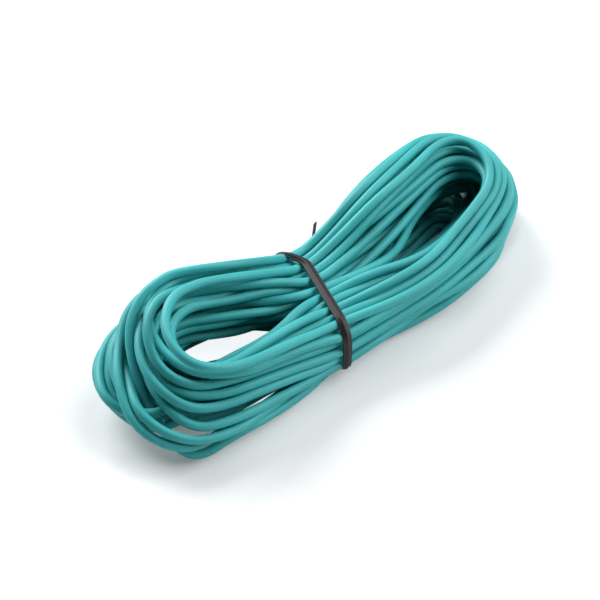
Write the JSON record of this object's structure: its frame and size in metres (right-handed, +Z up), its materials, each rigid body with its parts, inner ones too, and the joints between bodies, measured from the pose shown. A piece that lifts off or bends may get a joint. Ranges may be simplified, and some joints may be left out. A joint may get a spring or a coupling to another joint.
{
  "type": "hank of hook-up wire",
  "caption": "A hank of teal PVC-insulated hook-up wire, wound flat in long loops and drawn in at its waist by one black twist tie with free tails.",
  "frame": {"origin": "middle of the underside of the hank's bounding box", "axes": "X runs along the hank, its near end at -X; Y runs across it, the twist at +Y; Z is up from the surface it lies on"},
  "size_m": [0.1178, 0.0432, 0.0277],
  "materials": {
    "wire_pvc": "satin",
    "copper": "bright drawn copper",
    "tie_plastic": "satin",
    "tie_steel": "drawn"
  },
  "bodies": {
    "root": {"wire_insulation": "wire_pvc", "wire_conductor": "copper", "tie_coating": "tie_plastic", "tie_core_wire": "tie_steel"}
  },
  "joints": []
}
